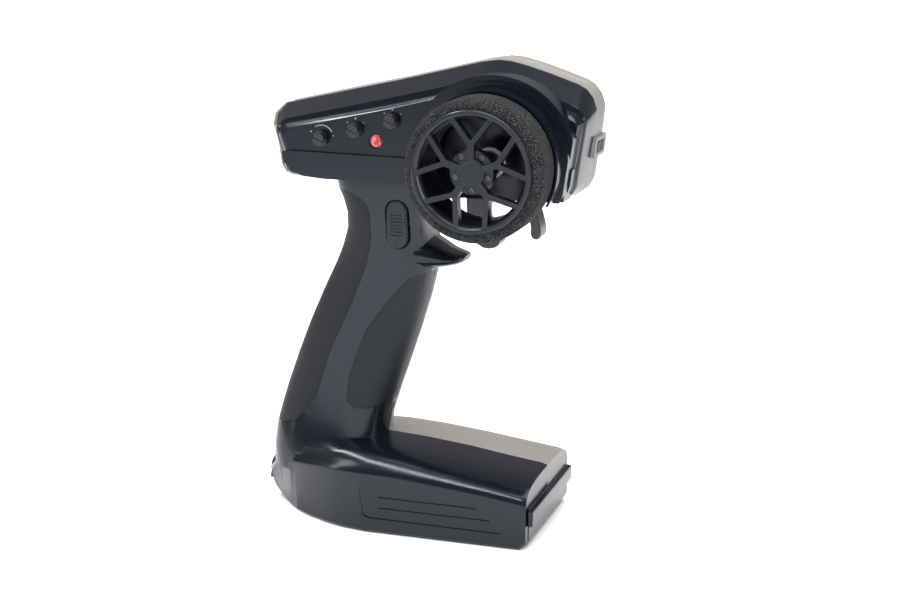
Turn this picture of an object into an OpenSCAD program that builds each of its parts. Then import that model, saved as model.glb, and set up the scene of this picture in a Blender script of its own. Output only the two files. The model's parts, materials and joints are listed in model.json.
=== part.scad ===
// Pistol-grip radio transmitter controller, in millimetres.
// +X is forward (trigger side), -Y is the steering-wheel side, +Z is up.
// The origin lies on the flat underside of the base, on the seam between the two case halves.

/* [Case] */
// Wall thickness of both case halves
wall = 2.2; // [2:0.05:2.4]
// Thickness of the rubber grip pads
pad_t = 1.1; // [0.9:0.05:1.2]
// Gap left round each rubber pad
pad_gap = 0.15; // [0.1:0.05:0.3]
// Radius of the case screw pillars
pillar_r = 3.2; // [3:0.1:3.6]

/* [Steering wheel] */
// Outer radius of the foam ring
foam_r = 29; // [28.6:0.1:29]
// Width of the foam ring
foam_w = 20; // [18:0.5:20]
// Outer radius of the rim's front flange
rim_r = 24.5; // [24.2:0.1:24.8]
// Width of each spoke arm
spoke_w = 2.1; // [1.8:0.1:2.4]
// Spoke depth along the wheel axis
spoke_d = 4.2; // [3.6:0.2:4.6]
// Radius of the wheel shaft
shaft_r = 3; // [2.8:0.1:3.2]
// Outer radius of the shaft bush
bush_r = 5; // [4.8:0.1:5]
// Radius of the hub cap
cap_r = 4.9; // [4.6:0.1:5]

/* [Knobs and switches] */
// Radius of the trim knobs
knob_r = 3.25; // [3:0.05:3.4]
// Height of the trim knobs over the panel
knob_h = 4.6; // [4:0.2:5]
// Radius of the lit push button
lens_r = 2.45; // [2.3:0.05:2.6]
// Length of the channel rocker
rocker_l = 20.4; // [19:0.2:20.4]
// Width of the channel rocker
rocker_w = 9; // [8:0.2:9]
// Travel of the power slider
power_travel = 4; // [3:0.5:4]

/* [Trigger] */
// Width of the trigger blades
trigger_w = 9.6; // [8:0.2:10]
// Gear tooth size, pitch diameter over tooth count
gear_m = 0.8; // [0.8:0.1:0.8]
// Teeth in a full turn of the trigger's gear
sector_teeth = 30; // [30:1:30]
// Teeth of the throttle sensor's pinion
pinion_teeth = 10; // [10:1:10]

/* [Battery bay] */
// Radius of one cell
cell_r = 7.2; // [7:0.05:7.25]
// Length of one cell's can
cell_l = 49.2; // [48:0.2:49.2]
// Spacing of the cells across the bay
cell_pitch = 14.8; // [14.8:0.1:15]

/* [Hidden] */
$fn = 48;
// Mid-plane side outline of the head: x, z, then how far each point follows a front, rear, top or
// bottom inset.
HEAD = [
  [-57.5, 150.8, 0, 0.6, 0, 1], [-61.5, 154.5, 0, 0.9, 0, 0.7], [-62.2, 161, 0, 1, 0, 0],
  [-64.8, 170.5, 0, 1, 0.25, 0], [-63.6, 175, 0, 0.95, 0.5, 0], [-58.7, 179.7, 0, 0.75, 0.8, 0],
  [-32.3, 185.7, 0, 0, 1, 0], [-7.2, 191.2, 0, 0, 1, 0], [11.3, 195.6, 0, 0, 1, 0],
  [29.5, 200, 0, 0, 1, 0], [36.7, 201, 0, 0, 1, 0], [42.1, 200.6, 0, 0, 1, 0],
  [49.8, 198.8, 0.1, 0, 1, 0], [58.7, 196.1, 0.3, 0, 1, 0], [70.9, 192, 0.7, 0, 1, 0],
  [74.5, 190, 1, 0, 0.9, 0], [77.2, 186.6, 1, 0, 0.7, 0], [78.8, 181.9, 1, 0, 0.4, 0],
  [78.1, 173.8, 1, 0, 0, 0], [76.6, 164.5, 1, 0, 0, 0], [74.9, 152, 1, 0, 0, 0.3],
  [73.2, 148.3, 0.8, 0, 0, 0.8], [70, 146.2, 0.4, 0, 0, 1], [62.6, 145.8, 0, 0, 0, 1],
  [20, 147.2, 0, 0, 0, 1], [-30, 148.9, 0, 0, 0, 1], [-52, 149.7, 0, 0.3, 0, 1]
];
// Insets of the head outline at each distance from the seam: y, top, front, rear, bottom.
HEAD_RIGHT = [
  [1, 0, 0, 0, 0], [0, 0, 0, 0, 0], [-14, 5.7, 0.4, 6, 0.8], [-15.2, 6.1, 0.8, 7, 1],
  [-15.8, 8.3, 1.4, 8.2, 1.2], [-17.6, 8.7, 1.8, 9.2, 1.6], [-18, 9.3, 2.2, 9.6, 1.8],
  [-19.2, 9.6, 2.6, 10.5, 2.2], [-20.3, 10.4, 3, 12.5, 3]
];
HEAD_LEFT = [
  [1, -0.3, 0, -1.2, -0.3], [0, -0.3, 0, -1.2, -0.3], [-9, -0.2, 0, -0.4, -0.1],
  [-9.5, -0.6, -0.2, -0.7, -0.2], [-17, -0.5, 0.4, 2, 0.4], [-20, -0.3, 1.3, 4, 1],
  [-22.5, 0.7, 2.9, 6.4, 2], [-24.2, 2.6, 4.8, 9, 3.6], [-25, 5.6, 7, 11.6, 4.2]
];
// Grip sections: z, rear x, front x, half width, roundness (1 is an ellipse).
GRIP = [
  [19, -66.2, -8, 21.5, 0.82], [28, -66.3, -11.5, 20.8, 0.82], [36, -65.3, -13.2, 18.6, 0.82],
  [44, -63.2, -11.7, 17, 0.82], [55, -59.7, -8.1, 16, 0.82], [70, -54.3, -2.8, 15.6, 0.82],
  [85, -48.3, 2.3, 15.6, 0.82], [100, -41.4, 6.8, 16, 0.8], [112, -35.3, 9.4, 16.7, 0.76],
  [121, -31, 9, 17.7, 0.66], [129, -28, 7.8, 18.7, 0.58], [136, -27.8, 8.2, 19.4, 0.54],
  [142, -29.6, 11.5, 19.9, 0.54], [147, -32, 17, 20.2, 0.54], [153, -33, 23, 20.3, 0.54]
];
// Finger hook sections: x, low z, high z, half width.
HOOK = [
  [-16, 111, 128, 15.6], [-5, 110.8, 127, 16.9], [4, 111.1, 127.4, 14.8], [10, 111.6, 124.2, 12.4],
  [16, 112.6, 120.6, 10.4], [19.5, 113.6, 119.4, 8.8], [21.6, 114.4, 118.9, 7.5],
  [22.8, 115.1, 118.4, 6.2], [23.4, 115.9, 117.7, 4.6]
];
// Base sections: x, half width, side height, crown height, underside lift, bottom narrowing.
BASE = [
  [-69.4, 4.5, 12, 14, 6.5, 2.6], [-67.4, 8, 16, 19, 3.4, 4.8], [-64, 11.5, 20, 25, 1.2, 6.4],
  [-61, 13.8, 21.8, 28.6, 0.7, 6], [-58, 16, 23.2, 31.5, 0.3, 4.9], [-54, 18.8, 24.4, 33.4, 0.1, 3.3],
  [-50, 21.4, 25.4, 34.8, 0, 2], [-43, 24.9, 26.5, 35.7, 0, 0.7], [-36, 27.9, 27.4, 36.2, 0, 0],
  [-30, 30.6, 27.9, 36.3, 0, 0], [-24, 32.8, 28.3, 36.2, 0, 0], [-12, 35, 28.8, 35.5, 0, 0],
  [5, 35, 28.2, 34.4, 0, 0],
  [24, 35, 26.5, 32.4, 0, 0], [42, 35, 24.6, 29.8, 0, 0], [57, 35, 22.7, 27.9, 0, 0],
  [60, 34.6, 22, 27, 2.6, 0]
];
WHEEL = [41.9, 162.4];
WHEEL_FRONT = -55.7;
FOAM_Y = -43.6;
RING_A = 35.2;
RING_B = 32.6;
RING_C = 30.5;
RING_C_IN = 29.6;
ARCH_BOTTOM = 147.4;
// Front edge of the arch, parallel to the nose: x, z at its foot and top.
ARCH_FRONT = [[71.69, 146.5], [76.9, 182]];
FLOOR_Y = -28;
// Mean radius of the centring spring.
SPRING_R = 7.35;
// Disc behind the hub that carries the lug screws.
LUG_DISC = 8.9;
LUG_CIRCLE = 7.2;
LUG_FACE = -53.6;
PANEL_Y = -20.3;
BAND_Y = -22;
PIVOT = [46, 151.9];
KNOBS = [[-34.7, 168.1], [-19.4, 172.2], [-3, 176.6]];
LENS = [-10.4, 167.8];
ROCKER = [-1.9, 132.6];
ROCKER_FACE = -19.7;
ROCKER_PIN = -15;
WELL_FLOOR = -12.4;
POWER = [76.8, 9.1, 166.2];
POWER_TILT = 7.2;
// Case screws and pillars: x, z.
SCREWS = [
  [-53.5, 166], [-24, 180.5], [24, 192.2], [69.4, 180.5], [68.2, 154.8], [-9.5, 115.5], [-32.5, 62],
  [-55.5, 12.5], [-8, 20], [46, 23]
];
SCREW_TIP = -7;
SCREW_SEAT = 6.5;
FRAME_POSTS = [[25, 179], [59, 179], [23.6, 160.4], [60.2, 160.4]];
FRAME_Y = -16.9;
LEVER_FRONT = -20.2;
LEVER_BACK = -17.6;
BOARD_POSTS = [[-41, 158], [15.5, 158.5], [15.5, 178]];
BOARD_Y = 9;
CELL_Z = 10.4;
BAY_REAR = 2;
BAY_FRONT = 55.1;
DOOR_X0 = 3.2;
DOOR_T = 2.2;
DOOR_HALF = 30.6;
DOOR_TOP = 17.5;
DOOR_GAP = 0.3;
GEAR_Y = trigger_w / 2 + 0.6;
GEAR_T = 2.4;
SECTOR_R = gear_m * sector_teeth / 2;
PINION_R = gear_m * pinion_teeth / 2;
// Direction from the trigger's pivot to the pinion, in degrees.
MESH = 135;
PINION = PIVOT + (SECTOR_R + PINION_R) * [cos(MESH), sin(MESH)];
REAR_PAD = [
  [-29.6, 146.4], [-24, 145.6], [-18.4, 143.4], [-15.2, 140.4], [-14, 137], [-13.8, 126],
  [-17.1, 112.7], [-24.2, 96], [-34.5, 74.4], [-41.2, 53.4], [-46.8, 45.2], [-52, 40.8],
  [-58.9, 38.7], [-80, 38.7], [-80, 146.4]
];
FRONT_PAD = [
  [30, 110.6], [9.1, 110.4], [1.7, 108.9], [-7.4, 98.8], [-17.4, 85.5], [-22.2, 74],
  [-26.2, 62.4], [-27, 52.5], [-24, 49.1], [-17.7, 48.9], [-10, 51.1], [-4, 54.5], [30, 54.5]
];

// Joins a list of closed rings of points into one solid.
module skin(rings) {
  n = len(rings[0]);
  m = len(rings);
  ones = [for (i = [1:n]) 1];
  c0 = (ones * rings[0]) / n;
  c1 = (ones * rings[m - 1]) / n;
  points = concat([for (r = rings) each r], [c0, c1]);
  sides = [for (i = [0:m - 2]) for (j = [0:n - 1]) let (k = (j + 1) % n)
    each [[i * n + j, i * n + k, (i + 1) * n + k], [i * n + j, (i + 1) * n + k, (i + 1) * n + j]]];
  start = [for (j = [0:n - 1]) [m * n, (j + 1) % n, j]];
  end = [for (j = [0:n - 1]) [m * n + 1, (m - 1) * n + j, (m - 1) * n + (j + 1) % n]];
  polyhedron(points = points, faces = concat(sides, start, end));
}

// One ring of the head, d inside its surface; k draws the sections together towards the seam.
function head_ring(s, d, k) = [for (p = HEAD) [
  p[0] - (s[2] + d) * p[2] + (s[3] + d) * p[3],
  s[0] > 0 ? s[0] : s[0] * k,
  p[1] - (s[1] + d) * p[4] + (s[4] + d) * p[5]
]];
module head(rows, d) {
  half_width = -rows[len(rows) - 1][0];
  skin([for (s = rows) head_ring(s, d, 1 - d / half_width)]);
}

function bend(v, e) = sign(v) * pow(abs(v), e);
function grip_ring(s, d) = let (c = (s[1] + s[2]) / 2, a = (s[2] - s[1]) / 2 - d, b = s[3] - d)
  concat(
    [[c + a, 1, s[0]]],
    [for (i = [0:14]) let (t = i * 180 / 14) [c + a * bend(cos(t), s[4]), -b * bend(sin(t), s[4]), s[0]]],
    [[c - a, 1, s[0]]]
  );
module grip(d) skin([for (s = GRIP) grip_ring(s, d)]);

function hook_ring(s, d) = let (c = (s[1] + s[2]) / 2, a = (s[2] - s[1]) / 2 - d, b = s[3] - d)
  concat([[s[0], 1, c - a]],
    [for (i = [0:8]) [s[0], -b * bend(sin(i * 180 / 8), 0.9), c - a * bend(cos(i * 180 / 8), 0.9)]],
    [[s[0], 1, c + a]]);
module hook(d, n) skin([for (i = [0:n - 1]) hook_ring(HOOK[i], d)]);

function base_ring(s, d) = let (x = min(s[0], 60 - d), w = s[1] - d, z = s[2] - d, c = s[3] - d,
    z0 = s[4] + d, b = w - s[5])
  [[x, 1, z0], [x, -b + 1.4, z0], [x, -b, z0 + 1.4], [x, -w, z - 3], [x, -w + 0.3, z - 1.4],
   [x, -w + 1.2, z - 0.1], [x, -w + 2.6, z + (c - z) * 0.22], [x, -w * 0.86, z + (c - z) * 0.52],
   [x, -w * 0.74, z + (c - z) * 0.78], [x, -w * 0.55, z + (c - z) * 0.92],
   [x, -w * 0.3, z + (c - z) * 0.99], [x, 1, c]];
module base(d, first) skin([for (i = [first:len(BASE) - 1]) base_ring(BASE[i], d)]);

// A disc on an axis along Y, from y0 to y1, at x, z.
module disc(c, r, y0, y1) translate([c[0], y0, c[1]]) rotate([-90, 0, 0])
  cylinder(r = r, h = y1 - y0);
// A flat shape drawn in x, z and given depth from y0 to y1.
module slab(y0, y1) translate([0, y1, 0]) rotate([90, 0, 0]) linear_extrude(y1 - y0) children();
module block(a, b) translate(a) cube(b - a);
// A square block round x, z from y0 to y1.
module square_block(c, half, y0, y1) block([c[0] - half, y0, c[1] - half], [c[0] + half, y1, c[1] + half]);

// A cylinder along X from x0 to x1.
module rod_x(y, z, r, x0, x1) translate([x0, y, z]) rotate([0, 90, 0]) cylinder(r = r, h = x1 - x0);
// A round wire through a list of points, with rounded corners.
module wire(points, r) for (i = [0:len(points) - 2]) {
  v = points[i + 1] - points[i];
  translate(points[i]) rotate([0, acos(v[2] / norm(v)), atan2(v[1], v[0])])
    cylinder(r = r, h = norm(v), $fn = 24);
  translate(points[i + 1]) sphere(r * 1.1, $fn = 24);
}
// A close-wound coil on an axis along Y: centre x, z, mean radius, wire radius, turns.
module coil(c, y0, big, small, turns) for (i = [0:turns - 1])
  translate([c[0], y0 + small + i * small * 1.8, c[1]]) rotate([90, 0, 0])
    rotate_extrude() translate([big, 0]) circle(small, $fn = 16);

// Stepped arch round the wheel, cut off level with the underside of the head.
module arch() difference() {
  union() {
    disc(WHEEL, RING_A, -26, -14);
    disc(WHEEL, RING_B, -29, -14);
    disc(WHEEL, RING_C, -37.6, -14);
  }
  disc(WHEEL, RING_C_IN, -40, FLOOR_Y);
  block([0, -50, 100], [90, 0, ARCH_BOTTOM]);
  slab(-50, 0) polygon(concat(ARCH_FRONT, [[90, 182], [90, 146.5]]));
}
module arch_inside() intersection() {
  disc(WHEEL, RING_C_IN - wall, FLOOR_Y + wall, -10);
  block([0, -50, ARCH_BOTTOM + wall], [90, 0, 210]);
}
module lower_band() slab(BAND_Y, -14) polygon([
  [-51.6, 157.1], [-47.8, 153.9], [-43.5, 151.7], [-34, 150.9], [10, 150.6], [70.4, 149.4],
  [72.6, 151], [73.6, 154], [74.4, 160.2], [-48.8, 162.3], [-52.6, 161.6]
]);
module pad_cut(outline) difference() {
  slab(-40, 2) polygon(outline);
  grip(pad_t + 0.03);
}
module pill(w, l, y0, y1) translate([ROCKER[0], 0, ROCKER[1]]) {
  for (s = [-1, 1]) disc([0, s * (l - w) / 2], w / 2, y0, y1);
  block([-w / 2, y0, -(l - w) / 2], [w / 2, y1, (l - w) / 2]);
}
// Walls and floor of the well behind the rocker.
module rocker_well() difference() {
  pill(rocker_w + 5, rocker_l + 5, -26, WELL_FLOOR + 2);
  pill(rocker_w + 1.2, rocker_l + 1.3, -27, WELL_FLOOR);
}
module trigger_slot() block([19.6, -5.8, 140], [59.5, 5.8, 151.2]);
module door_cut() {
  side = DOOR_HALF + DOOR_GAP;
  block([DOOR_X0, -side, -2], [70, side, DOOR_T + DOOR_GAP]);
  block([57.5, -side, -2], [70, side, DOOR_TOP + DOOR_GAP]);
}
// Cuts shared by both halves, drawn for the right half.
module shared_cuts() {
  pad_cut(REAR_PAD);
  pad_cut(FRONT_PAD);
  trigger_slot();
  disc(PIVOT, 1.55, -16, 1);
  // Room under the trigger's gear and spring.
  block([41, -8.4, 147.5], [51, 1, 153]);
  door_cut();
}
module shared_inside() {
  grip(wall + pad_t);
  hook(wall, 4);
  base(wall, 2);
}

module right_case_half() color("#20252e") intersection() {
  block([-90, -60, -1], [100, 0, 220]);
  difference() {
    union() {
      head(HEAD_RIGHT, 0);
      lower_band();
      arch();
      grip(0);
      hook(0, len(HOOK));
      base(0, 0);
    }
    difference() {
      union() {
        head(HEAD_RIGHT, wall);
        arch_inside();
        shared_inside();
      }
      for (s = SCREWS) disc(s, pillar_r, -40, 1);
      for (s = FRAME_POSTS) disc(s, 2.6, -40, FRAME_Y - 0.02);
      disc(WHEEL, bush_r + 1.6, -40, -20.6);
      disc(PIVOT, 3.2, -40, -8.6);
      rocker_well();
    }
    shared_cuts();
    disc(WHEEL, bush_r + 0.02, -34, -14);
    for (k = KNOBS) disc(k, 1.9, -30, -14);
    disc(LENS, lens_r + 0.25, -30, -14);
    disc(LENS, lens_r + 0.9, -30, PANEL_Y + 0.5);
    pill(rocker_w + 1.2, rocker_l + 1.3, -27, WELL_FLOOR);
    disc(ROCKER, 2.2, -16, -10);
    rod_x(ROCKER_PIN, ROCKER[1], 0.81, ROCKER[0] - 6, ROCKER[0] + 5.8);
    for (s = SCREWS) disc(s, 1.15, SCREW_TIP - 1.5, 1);
    for (s = FRAME_POSTS) disc(s, 0.8, -24, -14);
    badge_recess();
  }
}
// Shallow panel on the base side, left blank but for two plain raised strips.
module badge_recess() slab(-40, -34.4) difference() {
  polygon([
    [-15, 22.5], [-5, 23.2], [10, 21.8], [30, 19.5], [49, 17.3], [50.3, 15], [50, 7],
    [48.5, 6.4], [-10.5, 6.8], [-13, 8]
  ]);
  translate([-6, 15.4]) square([44, 1]);
  translate([-6, 10.6]) square([50, 1]);
}

module left_case_half() color("#cfccc6") intersection() {
  block([-90, 0, -1], [100, 60, 220]);
  mirror([0, 1, 0]) difference() {
    union() {
      head(HEAD_LEFT, 0);
      grip(0);
      hook(0, len(HOOK));
      base(0, 0);
    }
    difference() {
      union() {
        head(HEAD_LEFT, wall);
        shared_inside();
      }
      for (s = SCREWS) disc(s, pillar_r + 0.4, -40, 1);
      for (s = BOARD_POSTS) disc(s, 3, -40, -BOARD_Y - 1.62);
      disc(PIVOT, 3.4, -40, -8.6);
    }
    shared_cuts();
    for (s = SCREWS) {
      disc(s, 1.5, -40, 1);
      disc(s, 2.6, -60, -SCREW_SEAT);
    }
    for (s = BOARD_POSTS) disc(s, 0.95, -17, -8);
    mirror([0, 1, 0]) power_window();
  }
}

module full_grip(d) {
  grip(d);
  mirror([0, 1, 0]) grip(d);
}
module pad(outline) intersection() {
  difference() {
    full_grip(0);
    full_grip(pad_t);
  }
  slab(-40, 40) offset(delta = -pad_gap) polygon(outline);
}
module rear_grip_pad() color("#1b1c1e") pad(REAR_PAD);
module front_grip_pad() color("#22252b") pad(FRONT_PAD);
module case_screws() color("#3a3c40") for (s = SCREWS) difference() {
  union() {
    disc(s, 1.05, SCREW_TIP, SCREW_SEAT + 0.4);
    disc(s, 2.3, SCREW_SEAT + 0.02, SCREW_SEAT + 1.8);
  }
  translate([s[0], SCREW_SEAT + 1.5, s[1]]) {
    cube([2.8, 2, 0.6], center = true);
    cube([0.6, 2, 2.8], center = true);
  }
}

// Steering wheel, on an axis along Y.
module turned(y) translate([WHEEL[0], y, WHEEL[1]]) rotate([-90, 0, 0]) rotate_extrude() children();
module foam_ring() color("#3b3b3c") turned(FOAM_Y - foam_w / 2) difference() {
  union() {
    translate([23.06, 0]) square([foam_r - 23.06 - 4, foam_w]);
    translate([23.06, 4]) square([foam_r - 23.06, foam_w - 8]);
    for (y = [4, foam_w - 4]) translate([foam_r - 4, y]) circle(4);
  }
  translate([0, -1]) square([23.06, foam_w + 2]);
}
module bar(a, b, w) {
  v = b - a;
  translate(a) rotate(atan2(v[1], v[0])) translate([0, -w / 2]) square([norm(v), w]);
  translate(b) circle(w / 2);
}
module spoke() {
  bar([5.4, 0], [11.6, 0], spoke_w + 0.7);
  for (s = [-1, 1]) bar([11.4, s * 0.4], [22.2 * cos(20.5), s * 22.2 * sin(20.5)], spoke_w);
}
module wheel_rim() color("#2b2d31") difference() {
  union() {
    turned(WHEEL_FRONT) polygon([
      [21.2, 2.2], [22.6, 0.3], [23.2, 0], [rim_r - 0.3, 0], [rim_r, 0.4], [rim_r, 1.7],
      [23, 2], [23, 22], [23.9, 22.2], [23.9, 23], [21.6, 23], [21, 20], [21, 4]
    ]);
    slab(WHEEL_FRONT + 0.5, WHEEL_FRONT + 0.5 + spoke_d) translate(WHEEL)
      for (i = [0:4]) rotate(90 + 72 * i) spoke();
    disc(WHEEL, cap_r + 0.7, WHEEL_FRONT + 0.5, -48);
    disc(WHEEL, LUG_DISC, LUG_FACE, -48.4);
    disc(WHEEL, 5.4, -49, -30.4);
  }
  disc(WHEEL, cap_r + 0.04, -60, -53.7);
  disc(WHEEL, 3.3, -60, -51.6);
  disc(WHEEL, shaft_r + 0.01, -52, -30);
  for (i = [0:4]) rotate_about(54 + 72 * i) {
    disc([LUG_CIRCLE, 0], 0.75, -57, -49);
    disc([LUG_CIRCLE, 0], 1.45, -57, LUG_FACE + 0.8);
  }
}
module rotate_about(a) translate([WHEEL[0], 0, WHEEL[1]]) rotate([0, -a, 0]) children();
module hub_cap() color("#34363a") difference() {
  union() {
    disc(WHEEL, cap_r, WHEEL_FRONT + 0.3, -54.6);
    disc(WHEEL, cap_r - 1, -54.7, -53.72);
  }
  disc(WHEEL, cap_r - 0.7, -60, WHEEL_FRONT + 0.6);
}
module lug_screws() color("#3c3e42") for (i = [0:4]) rotate_about(54 + 72 * i) difference() {
  union() {
    disc([LUG_CIRCLE, 0], 1.2, LUG_FACE + 0.1, LUG_FACE + 0.78);
    disc([LUG_CIRCLE, 0], 0.7, LUG_FACE + 0.7, LUG_FACE + 3);
  }
  disc([LUG_CIRCLE, 0], 0.6, LUG_FACE - 1, LUG_FACE + 0.4);
}
module wheel_screw() color("#8e9094") difference() {
  union() {
    disc(WHEEL, 2.9, -53.4, -52.04);
    disc(WHEEL, 1.3, -52.1, -43);
  }
  disc(WHEEL, 1.1, -54, -52.8, $fn = 6);
}
module wheel_shaft() color("#9a9ca0") difference() {
  union() {
    disc(WHEEL, shaft_r, -51.6, LEVER_BACK);
    disc(WHEEL, 2, LEVER_BACK - 0.1, -10);
  }
  disc(WHEEL, 1.32, -53, -42);
}
module return_lever() color("#d8d6cf") difference() {
  union() {
    disc(WHEEL, 5.4, LEVER_FRONT, LEVER_BACK);
    slab(LEVER_FRONT, LEVER_BACK) translate(WHEEL) polygon([[-5, 2], [-3, 13.4], [3, 13.4], [5, 2]]);
  }
  disc(WHEEL, shaft_r + 0.01, -22, -16);
}
module shaft_bush() color("#e6e4dc") difference() {
  union() {
    disc(WHEEL, bush_r, -29.4, -20.6);
    disc(WHEEL, bush_r + 1.4, -29.4, FLOOR_Y - 0.02);
  }
  disc(WHEEL, shaft_r + 0.06, -32, -18);
}
module steering_spring() color("#a8aaae") {
  coil(WHEEL, -25.5, SPRING_R, 0.5, 4);
  for (s = [-1, 1]) disc([WHEEL[0] + s * SPRING_R, WHEEL[1] + 0.1], 0.5, -23.4, -21);
}
module steering_sensor() color("#2e4f7a") difference() {
  union() {
    disc(WHEEL, 7.4, FRAME_Y + 1.62, -8);
    disc(WHEEL, 3.6, FRAME_Y - 0.2, -14);
    block([WHEEL[0] - 4, -14.4, WHEEL[1] + 5], [WHEEL[0] + 4, -9.4, WHEEL[1] + 9.6]);
  }
  disc(WHEEL, 2.06, -18, -9.7);
}
module mechanism_frame() color("#5a5d62") difference() {
  slab(FRAME_Y, FRAME_Y + 1.6) polygon([
    [20.6, 157.4], [63.2, 157.4], [63.2, 176], [60.5, 182], [23, 182], [20.6, 176]
  ]);
  disc(WHEEL, 3.7, -20, -10);
  for (s = FRAME_POSTS) disc(s, 1.1, -20, -10);
}
module frame_screws() color("#8e9094") for (s = FRAME_POSTS) {
  disc(s, 0.75, -22, FRAME_Y + 1.8);
  disc(s, 1.8, FRAME_Y + 1.62, FRAME_Y + 2.9);
}

// Trigger, on an axis along Y.
module trigger_lever() color("#1e2228") difference() {
  union() {
    slab(-trigger_w / 2, trigger_w / 2) polygon([
      [24, 144], [24.3, 149.6], [28, 153], [40, 156], [50, 156], [53.6, 152], [53, 146],
      [54.2, 141], [55.6, 136.5], [56.6, 132.4], [56.9, 129.6], [56.3, 127.7], [54.8, 126.9],
      [53, 127.6], [52.3, 129.4], [52.4, 132.2], [51.8, 135.6], [50.9, 139], [49.9, 142.6],
      [49.2, 146.4], [46, 148.2], [38, 148.2], [34.9, 146.6], [33.5, 142], [32.9, 138.5],
      [33, 135], [33.8, 132], [35.4, 129.4], [37.6, 127.2], [38.9, 125.4], [38.6, 123.7],
      [36.8, 122.4], [34, 121.8], [31.4, 122.1], [29.2, 123.4], [27.4, 125.8], [26, 129],
      [25, 132.8], [24.3, 137.5]
    ]);
    disc(PIVOT, 4.4, -trigger_w / 2, trigger_w / 2);
  }
  disc(PIVOT, 1.56, -10, 10);
}
function tooth(r, m, half) = [
  [r - 1.1 * m, -half - 0.3 * m], [r + 0.75 * m, -half + 0.28 * m],
  [r + 0.75 * m, half - 0.28 * m], [r - 1.1 * m, half + 0.3 * m]
];
module teeth(r, count, first, last) for (i = [first:last]) rotate(i * 360 / count)
  polygon(tooth(r, gear_m, 0.4 * gear_m * 3.1416 / 2));
module trigger_gear() color("#e9e7df") difference() {
  union() {
    slab(GEAR_Y, GEAR_Y + GEAR_T) translate(PIVOT) rotate(MESH) {
      teeth(SECTOR_R, sector_teeth, -3, 3);
      intersection() {
        circle(SECTOR_R - 0.9 * gear_m);
        polygon([[0, 0], [20, -18], [20, 18]]);
      }
      circle(4.2);
    }
    disc(PIVOT, 3.8, trigger_w / 2, GEAR_Y + 0.1);
  }
  disc(PIVOT, 1.56, 0, 12);
}
module trigger_pin() color("#9a9ca0") disc(PIVOT, 1.5, -15, 15);
module trigger_spring() color("#a8aaae") coil(PIVOT, -8.4, 3.3, 0.45, 4);
module throttle_pinion() color("#e9e7df") {
  slab(GEAR_Y, GEAR_Y + GEAR_T) translate(PINION) rotate(MESH + 180) {
    rotate(180 / pinion_teeth) teeth(PINION_R, pinion_teeth, 0, pinion_teeth - 1);
    circle(PINION_R - 0.9 * gear_m);
  }
  disc(PINION, 1.5, GEAR_Y, GEAR_Y + 6);
}
module throttle_sensor() color("#2e4f7a") difference() {
  union() {
    disc(PINION, 7, GEAR_Y + 2.8, GEAR_Y + 9);
    block([PINION[0] - 9, GEAR_Y + 4, PINION[1] - 4], [PINION[0], GEAR_Y + 8, PINION[1] + 4]);
  }
  disc(PINION, 1.56, 0, GEAR_Y + 6.4);
}

// Trim knobs, their sensors and the push button.
module knob(c) color("#131418") difference() {
  union() {
    disc(c, knob_r, PANEL_Y - 2.8, PANEL_Y - 0.32);
    disc(c, knob_r - 0.7, PANEL_Y - knob_h, PANEL_Y - 2.7);
    disc(c, 1.5, PANEL_Y - 1, -14.2);
  }
  translate([c[0], PANEL_Y - knob_h, c[1]]) rotate([0, 24, 0])
    cube([knob_r * 1.5, 1.1, 0.8], center = true);
  for (i = [0:11]) rotate_at(c, i * 30) disc([knob_r + 0.1, 0], 0.32, PANEL_Y - 2.9, PANEL_Y);
}
module rotate_at(c, a) translate([c[0], 0, c[1]]) rotate([0, -a, 0]) children();
module rate_knob() knob(KNOBS[0]);
module throttle_trim_knob() knob(KNOBS[1]);
module steering_trim_knob() knob(KNOBS[2]);
module trim_sensors() color("#3b5f8c") for (k = KNOBS) difference() {
  square_block(k, 3, -16.6, -13.42);
  disc(k, 1.56, -20, -10);
}
module trim_board() color("#1f5a3a") difference() {
  slab(-13.4, -12) polygon([[-39.5, 161.5], [5, 163.5], [5, 181.6], [-39.5, 173]]);
  for (k = KNOBS) disc(k, 1.8, -15, -10);
}
module status_button() color("#c8202c") {
  disc(LENS, lens_r, PANEL_Y - 0.3, -17.4);
  disc(LENS, lens_r + 0.8, -17.75, -17.2);
}
module button_switch() color("#202124") square_block(LENS, 2.6, -16.2, -13.42);

// Three-position channel rocker, on an axis along X.
module channel_rocker() color("#3f4349") difference() {
  union() {
    pill(rocker_w, rocker_l, ROCKER_FACE + 0.4, ROCKER_PIN - 0.4);
    pill(rocker_w - 1, rocker_l - 1, ROCKER_FACE, ROCKER_PIN - 0.5);
    square_block(ROCKER, 2.4, ROCKER_PIN - 0.6, ROCKER_PIN + 1.8);
  }
  rod_x(ROCKER_PIN, ROCKER[1], 0.86, ROCKER[0] - 9, ROCKER[0] + 9);
  for (i = [-3:3]) translate([ROCKER[0], ROCKER_FACE, ROCKER[1] + i * 1.45])
    cube([5.2, 1, 0.6], center = true);
  disc([ROCKER[0], ROCKER[1] - 7.4], 0.8, -25, ROCKER_FACE + 0.3);
}
module rocker_pin() color("#9a9ca0")
  rod_x(ROCKER_PIN, ROCKER[1], 0.8, ROCKER[0] - 5.8, ROCKER[0] + 5.6);
module rocker_switch() color("#202124") {
  square_block(ROCKER, 4, WELL_FLOOR + 2.02, WELL_FLOOR + 6.4);
  disc(ROCKER, 1.9, WELL_FLOOR + 0.3, WELL_FLOOR + 2.1);
}

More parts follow.
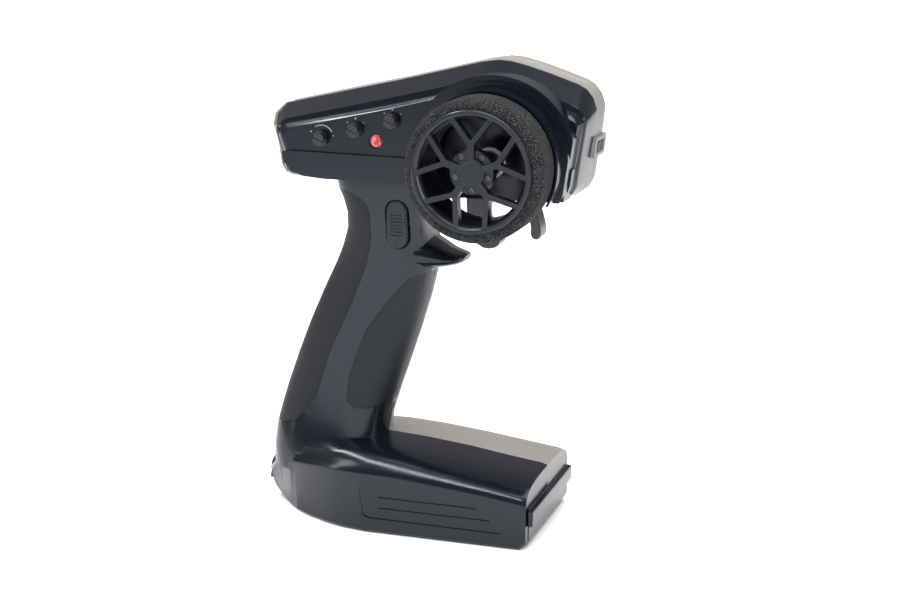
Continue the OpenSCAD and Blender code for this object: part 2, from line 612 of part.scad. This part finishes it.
// Power switch on the nose: the child frame's X points out of the nose.
module on_nose() translate(POWER) rotate([0, POWER_TILT, 0]) children();
module power_window() on_nose() {
  block([-0.4, -8.65, -4.55], [4, 8.65, 4.55]);
  block([-6, -4.7, -1.7], [1, 3.1, 1.7]);
}
module power_bezel() color("#c9c6c0") on_nose() difference() {
  block([-0.38, -8.5, -4.4], [1.7, 8.5, 4.4]);
  block([-2, -6.4, -2.6], [3, 6.4, 2.6]);
}
module power_slider() color("#17181b") on_nose() {
  block([0, -6, -2.2], [1.3, -1.2, 2.2]);
  block([-4.6, -4.3, -1.3], [0.1, -1.4, 1.3]);
  for (i = [0:2]) block([1.2, -5.2 + i * 1.4, -2.1], [1.8, -4.6 + i * 1.4, 2.1]);
}
module power_switch() color("#8e9094") on_nose() difference() {
  block([-8.6, -7, -3.4], [-2.9, 5.4, 3.4]);
  block([-5.2, -4.7, -1.7], [1, 3.1, 1.7]);
}

// Electronics inside the left half.
module main_board() color("#1f5a3a") difference() {
  slab(BOARD_Y, BOARD_Y + 1.6)
    polygon([[-45, 154.4], [19.5, 154.4], [19.5, 183], [0, 181.4], [-45, 170.6]]);
  for (s = BOARD_POSTS) disc(s, 1.2, 0, 20);
}
module board_chips() color("#1a1b1e") {
  block([-12, 7.2, 162], [0, BOARD_Y - 0.02, 174]);
  block([4, 7.8, 160], [9, BOARD_Y - 0.02, 168]);
  block([-34, 7.8, 157], [-26, BOARD_Y - 0.02, 161]);
}
module radio_shield() color("#b4b6ba") block([-37, 5.8, 163], [-18, BOARD_Y - 0.02, 173]);
module antenna() color("#26282c") wire([[-16, 11.6, 166], [-16, 13.4, 172.6], [-46, 13.4, 172.6]], 0.9);
module buzzer() color("#141517") difference() {
  disc([-31, 161.5], 5.6, BOARD_Y + 1.62, BOARD_Y + 7.4);
  disc([-31, 161.5], 1.1, BOARD_Y + 6, BOARD_Y + 9);
}
module board_screws() color("#8e9094") for (s = BOARD_POSTS) {
  disc(s, 2.1, BOARD_Y - 1.3, BOARD_Y - 0.02);
  disc(s, 0.9, BOARD_Y - 0.1, BOARD_Y + 6);
}

// Battery bay.
function cell_y(i) = (i - 1.5) * cell_pitch;
function can_x(i) = i % 2 == 0 ? BAY_FRONT - 1.25 - cell_l : BAY_REAR + 1.25;
module battery_tray() color("#2a2c30") difference() {
  block([BAY_REAR - 3.6, -30.2, 3], [57.2, 30.2, 19.2]);
  for (i = [0:3]) {
    rod_x(cell_y(i), CELL_Z, cell_r + 0.12, BAY_REAR - 0.4, BAY_FRONT + 0.4);
    translate([BAY_REAR - 0.4, cell_y(i) - cell_r + 0.4, 2])
      cube([BAY_FRONT - BAY_REAR + 0.8, 2 * cell_r - 0.8, CELL_Z - 2]);
  }
}
module battery_cells() color("#b9bbbf") for (i = [0:3]) {
  rod_x(cell_y(i), CELL_Z, cell_r, can_x(i), can_x(i) + cell_l);
  if (i % 2 == 0) rod_x(cell_y(i), CELL_Z, 2.7, can_x(i) + cell_l - 1, can_x(i) + cell_l + 1.2);
  else rod_x(cell_y(i), CELL_Z, 2.7, can_x(i) - 1.2, can_x(i) + 1);
}
function spring_x(i, k) = i % 2 == 0 ? BAY_REAR + 0.45 + k * 0.75 : BAY_FRONT - 0.45 - k * 0.75;
module contact_springs() color("#b9bbbf") for (i = [0:3]) for (k = [0:2])
  translate([spring_x(i, k), cell_y(i), CELL_Z]) rotate([0, 90, 0])
    rotate_extrude() translate([3.6 - k * 0.5, 0]) circle(0.42, $fn = 16);
module contact_plates() color("#c8cacd") for (i = [0:3]) for (x = [BAY_REAR - 0.38, BAY_FRONT + 0.02])
  block([x, cell_y(i) - 5, CELL_Z - 5], [x + 0.36, cell_y(i) + 5, CELL_Z + 5]);
module battery_leads() color("#a02a28") for (y = [2.4, 5]) wire([
  [-2.7, y, 9], [-14, y, 12], [-22, y, 22], [-22, y, 42], [-23, y, 62], [-20, y, 80],
  [-21, y, 100], [-21, y, 128], [-18, y, 148], [-18, 7.6, 157]
], 0.8);
module sensor_leads() color("#c9a53a") {
  wire([[38, -7.2, 169], [31, -3, 176], [20, 3, 178.5], [8, 7, 176]], 0.7);
  wire([[26, 14.3, 160], [22, 14.3, 167], [17, 11.5, 172]], 0.7);
}
module battery_door() color("#22262e") {
  slab(-DOOR_HALF, DOOR_HALF) polygon([
    [DOOR_X0 + 0.3, 0], [57, 0], [60.3, 2.8], [60.3, DOOR_TOP], [57.8, DOOR_TOP], [57.8, DOOR_T],
    [DOOR_X0 + 0.3, DOOR_T]
  ]);
  slab(-32.4, 32.4) polygon([[60.3, 9.8], [62.4, 10.4], [62.6, 16], [62.2, 16.8], [60.3, 17]]);
}

right_case_half();
left_case_half();
rear_grip_pad();
front_grip_pad();
case_screws();
foam_ring();
wheel_rim();
hub_cap();
lug_screws();
wheel_screw();
wheel_shaft();
return_lever();
shaft_bush();
steering_spring();
steering_sensor();
mechanism_frame();
frame_screws();
trigger_lever();
trigger_gear();
trigger_pin();
trigger_spring();
throttle_sensor();
throttle_pinion();
rate_knob();
throttle_trim_knob();
steering_trim_knob();
trim_sensors();
trim_board();
status_button();
button_switch();
channel_rocker();
rocker_pin();
rocker_switch();
power_bezel();
power_slider();
power_switch();
main_board();
board_chips();
radio_shield();
antenna();
buzzer();
board_screws();
battery_tray();
battery_cells();
contact_springs();
contact_plates();
battery_leads();
sensor_leads();
battery_door();
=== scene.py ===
# %% [markdown]
# # A pistol-grip radio transmitter
# The controller is held by its grip in the left hand while the right hand turns the foam wheel.
# CAD has made every piece at its real size. Here each visible piece gets soft moulded edges and a
# finish of its own, and a few raised marks are added, coloured pale grey as a painted highlight.

# %% Load the frame
import json
import math

import bmesh
import bpy
from mathutils import Matrix, Vector


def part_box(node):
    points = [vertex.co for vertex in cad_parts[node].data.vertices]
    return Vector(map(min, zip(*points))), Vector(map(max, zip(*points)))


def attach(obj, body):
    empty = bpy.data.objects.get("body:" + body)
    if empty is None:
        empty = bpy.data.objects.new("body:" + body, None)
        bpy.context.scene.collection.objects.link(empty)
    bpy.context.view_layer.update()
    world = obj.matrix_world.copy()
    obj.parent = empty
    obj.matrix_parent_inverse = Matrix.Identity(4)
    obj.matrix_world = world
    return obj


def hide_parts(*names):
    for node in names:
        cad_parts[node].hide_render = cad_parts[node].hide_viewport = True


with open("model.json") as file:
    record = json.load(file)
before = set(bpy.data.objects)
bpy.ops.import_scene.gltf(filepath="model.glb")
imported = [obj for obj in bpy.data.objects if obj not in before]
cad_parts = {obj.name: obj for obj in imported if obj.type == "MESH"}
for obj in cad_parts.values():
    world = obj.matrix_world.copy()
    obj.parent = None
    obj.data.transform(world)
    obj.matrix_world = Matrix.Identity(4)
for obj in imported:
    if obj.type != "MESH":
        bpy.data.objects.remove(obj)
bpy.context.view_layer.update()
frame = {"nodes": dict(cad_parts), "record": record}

nodes = frame["nodes"]
record = frame["record"]
MM = 0.001

# %% [markdown]
# ## Camera
# A long lens from the right, a little above the wheel, keeps the base and the head in proportion.
# It could be placed by hand with the view locked to it, but a place and a target are easier to read.

# %% Camera
def point(x, y, z):
    return Vector((x, y, z)) * MM


def aimed(thing, place, target):
    thing.location = place
    thing.rotation_euler = (target - place).to_track_quat("-Z", "Y").to_euler()
    bpy.context.collection.objects.link(thing)
    return thing


lens = bpy.data.cameras.new("studio_camera")
lens.lens = 69.36
lens.sensor_width = 36
camera = bpy.data.objects.new("studio_camera", lens)
aimed(camera, point(244.6, -691.6, 271.1), point(15.33, 0, 97.12))
bpy.context.scene.camera = camera
print("the camera stands", round(camera.location.length * 1000), "mm from the seam of the base")

# %% [markdown]
# ## Shader values as arithmetic
# A finish is mostly arithmetic on noise. It could be drawn as a graph in the node editor, but a small
# class round a socket lets it be written as ordinary Python, and each operation adds its own Math node.

# %% Shader values
class Value:
    """The output of a node, ready for arithmetic."""

    def __init__(self, finish, socket):
        self.finish = finish
        self.socket = socket

    def maths(self, operation, first, second):
        return self.finish.node("ShaderNodeMath", {"operation": operation}, {0: first, 1: second})

    def __add__(self, other):
        return self.maths("ADD", self, other)

    def __sub__(self, other):
        return self.maths("SUBTRACT", self, other)

    def __rsub__(self, other):
        return self.maths("SUBTRACT", other, self)

    def __mul__(self, other):
        return self.maths("MULTIPLY", self, other)

    __radd__ = __add__
    __rmul__ = __mul__


class Finish:
    """A material under construction, with the patterns that the finishes share."""

    def __init__(self, name, **constants):
        self.material = bpy.data.materials.new(name)
        self.material.use_nodes = True
        self.tree = self.material.node_tree
        self.shader = self.tree.nodes["Principled BSDF"]
        for socket, value in constants.items():
            self.shader.inputs[socket.replace("_", " ")].default_value = value
        self.place = self.node("ShaderNodeTexCoord", output="Object")

    def node(self, kind, settings=None, sockets=None, output=0):
        made = self.tree.nodes.new(kind)
        for name, value in (settings or {}).items():
            setattr(made, name, value)
        for name, value in (sockets or {}).items():
            self.feed(made.inputs[name], value)
        return Value(self, made.outputs[output])

    def feed(self, socket, value):
        if isinstance(value, Value):
            self.tree.links.new(value.socket, socket)
        else:
            socket.default_value = value

    def noise(self, size, detail=2.0, along=(1, 1, 1)):
        """Noise whose blobs are about size millimetres, drawn out along the axes that are under 1."""
        place = self.node("ShaderNodeVectorMath", {"operation": "MULTIPLY"}, {0: self.place, 1: along})
        return self.node("ShaderNodeTexNoise", None,
                         {"Vector": place, "Scale": 1000 / size, "Detail": detail})

    def cells(self, size):
        """Distance to the nearest of many scattered centres, size millimetres apart."""
        return self.node("ShaderNodeTexVoronoi", None, {"Vector": self.place, "Scale": 1000 / size})

    def step(self, value, low, high):
        """0 below low, 1 above high."""
        return self.node("ShaderNodeMapRange", None, {"Value": value, "From Min": low, "From Max": high})

    def between(self, factor, first, second):
        """A colour from first, at factor 0, to second, at factor 1."""
        return self.node("ShaderNodeMix", {"data_type": "RGBA"}, {0: factor, 6: first, 7: second}, output=2)

    def colour(self, value):
        self.feed(self.shader.inputs["Base Color"], value)

    def rough(self, value):
        self.feed(self.shader.inputs["Roughness"], value)

    def relief(self, height, depth, strength=1.0):
        """Bumps of the given height in millimetres."""
        bump = self.node("ShaderNodeBump", None,
                         {"Height": height, "Distance": depth * MM, "Strength": strength})
        self.feed(self.shader.inputs["Normal"], bump)


def shade(colour, amount):
    return tuple(min(1.0, c * amount) for c in colour) + (1.0,)


# %% [markdown]
# ## Moulded plastics
# The case is injection moulded. Its right half has a satin gloss, so it needs a slow ripple that
# bends reflections a little and a fine grain that softens them. The left half was moulded against an
# eroded tool and is matte. Both come from one recipe with other numbers. The dark plastics share a
# faintly blue sheen, which the tint of their mirror light gives.

# %% Moulded plastics
def moulding(name, colour, roughness, grain, depth, ripple=0.0, mottle=0.08, **constants):
    finish = Finish(name, **constants)
    fine = finish.noise(grain, 3)
    broad = finish.noise(22, 3)
    scuffs = finish.step(finish.noise(1.1, 4), low=0.64, high=0.78)
    finish.colour(finish.between(broad, shade(colour, 1 - mottle), shade(colour, 1 + mottle)))
    finish.rough(roughness + (broad - 0.5) * 0.1 + (fine - 0.5) * 0.08 + scuffs * 0.04)
    finish.relief(fine * depth + finish.noise(26, 1) * ripple, 1.0, 0.55)
    return finish.material


COOL = (0.88, 0.93, 1.0, 1.0)
finishes = {
    "dark_shell": moulding("dark_shell", (0.0032, 0.0042, 0.0078), 0.2, 0.16, 0.0015, ripple=0.02,
                           Specular_IOR_Level=0.4, Specular_Tint=COOL),
    "grey_shell": moulding("grey_shell", (0.185, 0.176, 0.165), 0.5, 0.22, 0.012, mottle=0.03),
    "rim_plastic": moulding("rim_plastic", (0.0052, 0.006, 0.0085), 0.28, 0.2, 0.004,
                            Specular_IOR_Level=0.45, Specular_Tint=COOL),
    "black_plastic": moulding("black_plastic", (0.0045, 0.005, 0.0065), 0.26, 0.2, 0.006),
    "gloss_black": moulding("gloss_black", (0.003, 0.0036, 0.005), 0.1, 0.3, 0.002, Coat_Weight=0.5,
                            Specular_Tint=COOL),
    "white_acetal": moulding("white_acetal", (0.78, 0.77, 0.72), 0.42, 0.25, 0.004, mottle=0.03),
    "sensor_blue": moulding("sensor_blue", (0.03, 0.08, 0.2), 0.4, 0.2, 0.006),
    "chip_black": moulding("chip_black", (0.012, 0.012, 0.014), 0.55, 0.15, 0.012),
    "red_wire": moulding("red_wire", (0.45, 0.02, 0.02), 0.4, 0.3, 0.003),
    "yellow_wire": moulding("yellow_wire", (0.6, 0.38, 0.03), 0.4, 0.3, 0.003),
}
print("made", len(finishes), "moulded finishes")

# %% [markdown]
# ## Rubber and foam
# The rear grip pad is stippled rubber and the front one is smooth. The stipple is a field of tiny
# domes, which the distance to scattered centres gives. The foam is open cells: the same distance,
# cut deep, with painted shade darkening the pores and painted highlights on the cell walls.

# %% Rubber and foam
def stippled_rubber(name, colour, pitch, depth, roughness):
    finish = Finish(name, Specular_IOR_Level=0.3, Specular_Tint=COOL)
    domes = finish.cells(pitch)
    dust = finish.step(finish.noise(0.35, 2), 0.66, 0.8)
    broad = finish.noise(14, 3)
    base = finish.between(broad, shade(colour, 0.85), shade(colour, 1.2))
    finish.colour(finish.between(dust * 0.35, base, (0.09, 0.09, 0.095, 1)))
    finish.rough(roughness + (broad - 0.5) * 0.12 + dust * 0.1)
    finish.relief((1 - domes) * depth + finish.noise(0.2, 2) * depth * 0.3, 1.0, 0.8)
    return finish.material


def open_cell_foam(name, colour, cell, depth):
    finish = Finish(name, Specular_IOR_Level=0.2)
    pores = finish.cells(cell)
    large = finish.cells(cell * 2.6)
    walls_relief_and_painted_light = finish.step(pores, 0.35, 0.75)
    fleck = finish.step(finish.noise(cell * 0.8, 2), 0.53, 0.66)
    # Painted shade and painted highlight: the pores are darkened to a fifth and the cell walls lightened as
    # if they catch the light.
    base = finish.between(walls_relief_and_painted_light, shade(colour, 0.2), shade(colour, 2.2))
    finish.colour(finish.between(fleck * 0.7, base, (0.105, 0.105, 0.108, 1)))
    finish.rough(0.95 - fleck * 0.1)
    finish.relief(walls_relief_and_painted_light * depth + large * depth * 0.5, 1.0, 0.9)
    return finish.material


finishes["grip_rubber"] = stippled_rubber("grip_rubber", (0.0032, 0.0037, 0.005), 0.42, 0.05, 0.5)
finishes["smooth_rubber"] = stippled_rubber("smooth_rubber", (0.0035, 0.0044, 0.0068), 0.16, 0.008, 0.4)
finishes["foam"] = open_cell_foam("foam", (0.0085, 0.009, 0.0102), 0.55, 0.26)
print("made the rubbers and the foam")

# %% [markdown]
# ## Lens, metals and the board
# The button's lens is clear red plastic with a deep colour and a hard coat. Its weak glow and brighter
# swirls are painted light for a bright core and sparkle. Turned metal has fine rings, drawn here as noise
# stretched round the part's length.

# %% Lens, metals and the board
def metal(name, colour, roughness, along=(1, 0.04, 1)):
    finish = Finish(name, Metallic=1.0)
    lines = finish.noise(0.12, 2, along=along)
    tarnish = finish.noise(7, 4)
    finish.colour(finish.between(tarnish, shade(colour, 0.88), shade(colour, 1.06)))
    finish.rough(roughness + (lines - 0.5) * 0.2 + (tarnish - 0.5) * 0.12)
    finish.relief(lines, 0.006, 0.6)
    return finish.material


finishes["steel"] = metal("steel", (0.6, 0.61, 0.62), 0.3)
finishes["dark_steel"] = metal("dark_steel", (0.1, 0.1, 0.11), 0.38)
finishes["plated"] = metal("plated", (0.78, 0.79, 0.8), 0.16)
finishes["shield_tin"] = metal("shield_tin", (0.66, 0.67, 0.68), 0.34, along=(0.05, 1, 1))


def painted_glow_lens(name):
    finish = Finish(name, Coat_Weight=1.0, Coat_Roughness=0.05, Emission_Strength=0.6)
    swirl_and_painted_glow = finish.step(finish.noise(1.5, 1), 0.42, 0.66)
    finish.colour(finish.between(swirl_and_painted_glow, (0.16, 0.001, 0.003, 1), (0.42, 0.01, 0.016, 1)))
    # Painted glow: the lens glows, pink-white in the swirls, as painted light for its bright core and
    # sparkle.
    finish.feed(finish.shader.inputs["Emission Color"],
                finish.between(swirl_and_painted_glow, (0.16, 0.006, 0.012, 1), (1.0, 0.3, 0.32, 1)))
    finish.rough(0.14 + swirl_and_painted_glow * 0.1)
    finish.relief(swirl_and_painted_glow, 0.02, 0.4)
    return finish.material


def circuit_board(name):
    finish = Finish(name, Coat_Weight=0.4)
    tracks = finish.node("ShaderNodeTexBrick", None,
                         {"Vector": finish.place, "Scale": 260.0, "Mortar Size": 0.03}, output="Fac")
    finish.colour(finish.between(tracks, (0.01, 0.1, 0.045, 1), (0.03, 0.2, 0.09, 1)))
    finish.rough(0.3 + finish.noise(4, 2) * 0.15)
    finish.relief(tracks, 0.02, 0.5)
    return finish.material


def printed_film(name):
    finish = Finish(name, Coat_Weight=0.5)
    band = finish.step(finish.noise(30, 1, along=(1, 0.1, 0.1)), 0.48, 0.52)
    finish.colour(finish.between(band, (0.05, 0.055, 0.065, 1), (0.32, 0.33, 0.35, 1)))
    finish.rough(0.24 + finish.noise(3, 2) * 0.12)
    finish.relief(finish.noise(5, 2), 0.02, 0.4)
    return finish.material


finishes["red_lens"] = painted_glow_lens("red_lens")
finishes["circuit_green"] = circuit_board("circuit_green")
finishes["cell_wrap"] = printed_film("cell_wrap")
print("made", len(finishes), "finishes in all")

# %% [markdown]
# ## Dress the CAD nodes
# A node whose shape is right keeps its mesh and only takes the finish of its material slot.

# %% Dress the CAD nodes
slot_of = {row["node"]: row["material_slot"] for row in record["subparts"]}
body_of = {name: body for body, names in record["behaviour"]["bodies"].items() for name in names}
for name, thing in nodes.items():
    thing.data.materials.clear()
    thing.data.materials.append(finishes[slot_of[name]])
print("dressed", len(nodes), "nodes")

# %% [markdown]
# ## Soft moulded edges
# No moulding has a knife edge. The radius of a tool's corners catches a thin bright line of light,
# and without it a dark part looks cut from paper. Each visible node is copied, its loose triangles
# are merged into whole faces, and a narrow bevel rounds every real corner. The rubber pads have no
# such corners and their skins curve all over, so they are only merged and shaded smooth.

# %% Soft moulded edges
FLAT_ANGLE = 0.3
CORNER_ANGLE = 32
PAD_ANGLE = 50


def piece_from(shape, name, node, smooth_angle=38):
    """Turns a bmesh into a piece that stands for a CAD node and rides on its body."""
    mesh = bpy.data.meshes.new(name)
    shape.to_mesh(mesh)
    shape.free()
    if "custom_normal" in mesh.attributes:
        mesh.attributes.remove(mesh.attributes["custom_normal"])
    mesh.shade_smooth()
    mesh.set_sharp_from_angle(angle=math.radians(smooth_angle))
    mesh.materials.clear()
    mesh.materials.append(finishes[slot_of[node]])
    piece = bpy.data.objects.new(name, mesh)
    bpy.context.collection.objects.link(piece)
    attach(piece, body_of[node])
    return piece


def merged(node):
    """A bmesh copy of a CAD node with its loose triangles joined at their corners."""
    shape = bmesh.new()
    shape.from_mesh(nodes[node].data)
    bmesh.ops.remove_doubles(shape, verts=shape.verts, dist=0.002 * MM)
    return shape


def weigh_normals(piece, node):
    """Large faces keep their own shading, then the piece takes the CAD node's place."""
    weighted = piece.modifiers.new("face_weighted_normals", "WEIGHTED_NORMAL")
    weighted.keep_sharp = True
    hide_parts(node)


def soften(node, radius):
    """Rounds every corner sharper than CORNER_ANGLE, to a radius in millimetres."""
    shape = merged(node)
    bmesh.ops.dissolve_limit(shape, angle_limit=math.radians(FLAT_ANGLE), verts=shape.verts,
                             edges=shape.edges)
    piece = piece_from(shape, node + "_moulded", node, CORNER_ANGLE)
    bevel = piece.modifiers.new("corner_radius", "BEVEL")
    bevel.width = radius * MM
    bevel.segments = 2
    bevel.limit_method = "ANGLE"
    bevel.angle_limit = math.radians(CORNER_ANGLE)
    bevel.use_clamp_overlap = True
    bevel.miter_outer = "MITER_ARC"
    weigh_normals(piece, node)


CORNERS = {
    "right_case_half": 0.35, "left_case_half": 0.35,
    "wheel_rim": 0.18, "hub_cap": 0.15, "lug_screws": 0.08, "trigger_lever": 0.7,
    "rate_knob": 0.32, "throttle_trim_knob": 0.32, "steering_trim_knob": 0.32,
    "status_button": 0.6, "channel_rocker": 0.25, "power_bezel": 0.25, "power_slider": 0.15,
    "battery_door": 0.6, "case_screws": 0.12,
}
for node, radius in CORNERS.items():
    soften(node, radius)
for node in ("rear_grip_pad", "front_grip_pad"):
    weigh_normals(piece_from(merged(node), node + "_moulded", node, PAD_ANGLE), node)
print("softened", len(CORNERS), "nodes")

# %% [markdown]
# ## Raised marks on the panel
# A curved gauge mark with a dot at each end runs round the rate knob, and a small pointer stands over
# each of the other two. They are a few tenths of a millimetre proud, as moulded marks are, and their
# pale grey colour is a painted highlight for the light their raised edges catch. A face spun
# round the knob's axis makes the gauge, and three and twelve sided discs make pointers and dots.

# %% Raised marks
KNOB_BACK_TO_PANEL = 6.1
GAUGE_RADIUS = 5.4
POINTER_RADIUS = 4.7
panel_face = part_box("rate_knob")[1].y - KNOB_BACK_TO_PANEL * MM
marks = Finish("panel_mark_painted_highlight", Coat_Weight=0.3)
mark_grain = marks.noise(0.5, 3)
# Painted highlight: the marks are coloured pale grey for the light their raised edges catch.
marks.colour(marks.between(mark_grain, (0.16, 0.165, 0.175, 1), (0.30, 0.305, 0.315, 1)))
marks.rough(0.34 + mark_grain * 0.15)
marks.relief(mark_grain, 0.01, 0.5)


def knob_centre(node):
    low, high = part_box(node)
    return Vector(((low.x + high.x) / 2, panel_face, (low.z + high.z) / 2))


def gauge(centre, radius, width, first, last):
    """A curved bar round centre, from angle first to angle last, in degrees anticlockwise."""
    bar = bmesh.new()
    turn = Matrix.Rotation(-math.radians(first), 3, "Y")
    corners = [bar.verts.new(centre + turn @ (Vector((r, y, 0)) * MM))
               for r, y in ((radius - width / 2, 0.1), (radius + width / 2, 0.1),
                            (radius + width / 2, -0.22), (radius - width / 2, -0.22))]
    end = bar.faces.new(corners)
    bmesh.ops.spin(bar, geom=[end, *end.edges, *end.verts], cent=centre, axis=(0, -1, 0),
                   angle=math.radians(last - first), steps=20)
    return bar


def disc_mark(shape, centre, radius, sides, lean=0.0):
    """A flat disc, or a triangle with sides of 3, standing 0.2 mm proud of the panel."""
    made = bmesh.ops.create_cone(shape, cap_ends=True, segments=sides, radius1=radius * MM,
                                 radius2=radius * 0.85 * MM, depth=0.32 * MM)["verts"]
    bmesh.ops.rotate(shape, verts=made, cent=(0, 0, 0), matrix=Matrix.Rotation(math.radians(lean), 3, "Z"))
    bmesh.ops.rotate(shape, verts=made, cent=(0, 0, 0), matrix=Matrix.Rotation(math.radians(90), 3, "X"))
    bmesh.ops.translate(shape, verts=made, vec=centre + Vector((0, -0.06, 0)) * MM)


def around(centre, radius, angle):
    a = math.radians(angle)
    return centre + Vector((radius * math.cos(a), 0, radius * math.sin(a))) * MM


def mark_piece(shape, name):
    bmesh.ops.recalc_face_normals(shape, faces=shape.faces)
    piece = piece_from(shape, name, "right_case_half")
    piece.data.materials.clear()
    piece.data.materials.append(marks.material)
    return piece


rate = knob_centre("rate_knob")
gauge_bar = gauge(rate, GAUGE_RADIUS, width=0.34, first=30, last=122)
for angle in (12, 152):
    disc_mark(gauge_bar, around(rate, GAUGE_RADIUS, angle), radius=0.34, sides=12)
mark_piece(gauge_bar, "rate_gauge_mark")
for node in ("throttle_trim_knob", "steering_trim_knob"):
    pointer = bmesh.new()
    middle = knob_centre(node)
    disc_mark(pointer, around(middle, POINTER_RADIUS, 90), radius=0.62, sides=3, lean=180)
    for angle in (40, 140):
        disc_mark(pointer, around(middle, POINTER_RADIUS, angle), radius=0.26, sides=12)
    mark_piece(pointer, node.replace("_knob", "_marks"))
print("the gauge runs round", [round(c / MM, 1) for c in rate])

# %% [markdown]
# ## Foam ring
# The tyre is a ring of open-cell foam stretched over the rim. A rectangle stands for its section, its
# two outer corners are rounded, and one spin round the wheel's axle makes the ring.

# %% Foam ring
RIM_SEAT = 23.06
FOAM_CORNER = 4
foam_low, foam_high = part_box("foam_ring")
axle = (foam_low + foam_high) / 2
foam_outside = (foam_high.x - foam_low.x) / 2
foam_inside = RIM_SEAT * MM
section = bmesh.new()
corners = [section.verts.new((axle.x + r, y, axle.z))
           for r, y in ((foam_inside, foam_low.y), (foam_outside, foam_low.y),
                        (foam_outside, foam_high.y), (foam_inside, foam_high.y))]
for i in range(4):
    section.edges.new((corners[i], corners[(i + 1) % 4]))
bmesh.ops.bevel(section, geom=corners[1:3], offset=FOAM_CORNER * MM, segments=8, profile=0.5, material=-1,
                affect="VERTICES")
bmesh.ops.spin(section, geom=list(section.verts) + list(section.edges), cent=axle, axis=(0, 1, 0),
               angle=math.tau, steps=144, use_merge=True)
bmesh.ops.remove_doubles(section, verts=section.verts, dist=0.001 * MM)
bmesh.ops.recalc_face_normals(section, faces=section.faces)
foam = piece_from(section, "foam_tyre", "foam_ring")
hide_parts("foam_ring")
print("the foam ring is", round(foam_outside * 2 / MM, 1), "mm across")

# %% [markdown]
# ## Studio
# A white bowl runs from under the object up all round it, so every view has a plain pale backdrop: a
# bent profile is spun round the middle. Large softboxes overhead and behind light the object. Long
# strips draw the thin bright lines along the moulded edges, and two washes brighten the floor in
# front and the wall behind, which the dark gloss mirrors.

# %% Floor and wall
paper = Finish("studio_paper")
fibres = paper.noise(2.5, 3)
paper.colour(paper.between(fibres, (0.86, 0.86, 0.87, 1), (0.90, 0.90, 0.905, 1)))
paper.rough(0.7 + fibres * 0.2)


def staged(shape, name):
    bmesh.ops.recalc_face_normals(shape, faces=shape.faces)
    mesh = bpy.data.meshes.new(name)
    shape.to_mesh(mesh)
    shape.free()
    mesh.shade_smooth()
    mesh.materials.append(paper.material)
    backdrop = bpy.data.objects.new(name, mesh)
    bpy.context.collection.objects.link(backdrop)
    return backdrop


FLOOR_RADIUS = 1.6
disc = bmesh.new()
bmesh.ops.create_circle(disc, cap_ends=True, segments=96, radius=FLOOR_RADIUS)
staged(disc, "studio_floor")
bowl = bmesh.new()
rows = [bowl.verts.new(place) for place in ((FLOOR_RADIUS, 0, 0), (2.8, 0, 0), (3.0, 0, 2.0))]
for first, second in zip(rows, rows[1:]):
    bowl.edges.new((first, second))
bmesh.ops.bevel(bowl, geom=rows[1:2], offset=1.1, segments=16, profile=0.5, material=-1,
                affect="VERTICES")
bmesh.ops.spin(bowl, geom=list(bowl.verts) + list(bowl.edges), cent=(0, 0, 0), axis=(0, 0, 1),
               angle=math.tau, steps=96, use_merge=True)
bmesh.ops.remove_doubles(bowl, verts=bowl.verts, dist=0.0001)
wall = staged(bowl, "studio_wall")
wall.visible_glossy = False
print("the floor is", 2 * FLOOR_RADIUS, "m across, with a wall all round that gloss doesn't mirror")


# %% Lights
def softbox(name, width, height, place, target, watts):
    """A rectangular lamp, sized and placed in metres."""
    light = bpy.data.lights.new(name, "AREA")
    light.shape = "RECTANGLE"
    light.size = width
    light.size_y = height
    light.energy = watts
    return aimed(bpy.data.objects.new(name, light), Vector(place), Vector(target))


softbox("overhead_softbox", 0.9, 0.9, (0.25, 0.1, 1.3), (0, 0, 0.05), 13)
rear = softbox("rear_softbox", 1.6, 0.8, (-0.4, 1.3, 1.2), (0, 0.2, 0.0), 22)
rear.visible_glossy = False
softbox("edge_strip", 1.6, 0.06, (-0.35, -0.22, 1.1), (0, 0, 0.1), 11)
softbox("wheel_side_strip", 0.12, 0.9, (0.9, -0.25, 0.5), (0, 0, 0.1), 4)
softbox("grip_side_strip", 0.12, 0.9, (-0.8, -0.45, 0.55), (0, 0, 0.1), 3)
for name, place, target, watts in (("floor_wash", (0.3, -1.1, 1.0), (0.15, -0.75, 0), 13),
                                   ("wall_wash", (-0.4, 1.3, 1.5), (-0.7, 3.0, 0.7), 45)):
    softbox(name, 0.8, 0.5, place, target, watts).visible_glossy = False
world = bpy.data.worlds.new("studio_air")
world.use_nodes = True
world.node_tree.nodes["Background"].inputs["Color"].default_value = (1, 1, 1, 1)
world.node_tree.nodes["Background"].inputs["Strength"].default_value = 0.3
bpy.context.scene.world = world
bpy.context.scene.view_settings.view_transform = "Standard"
print("lit the studio")
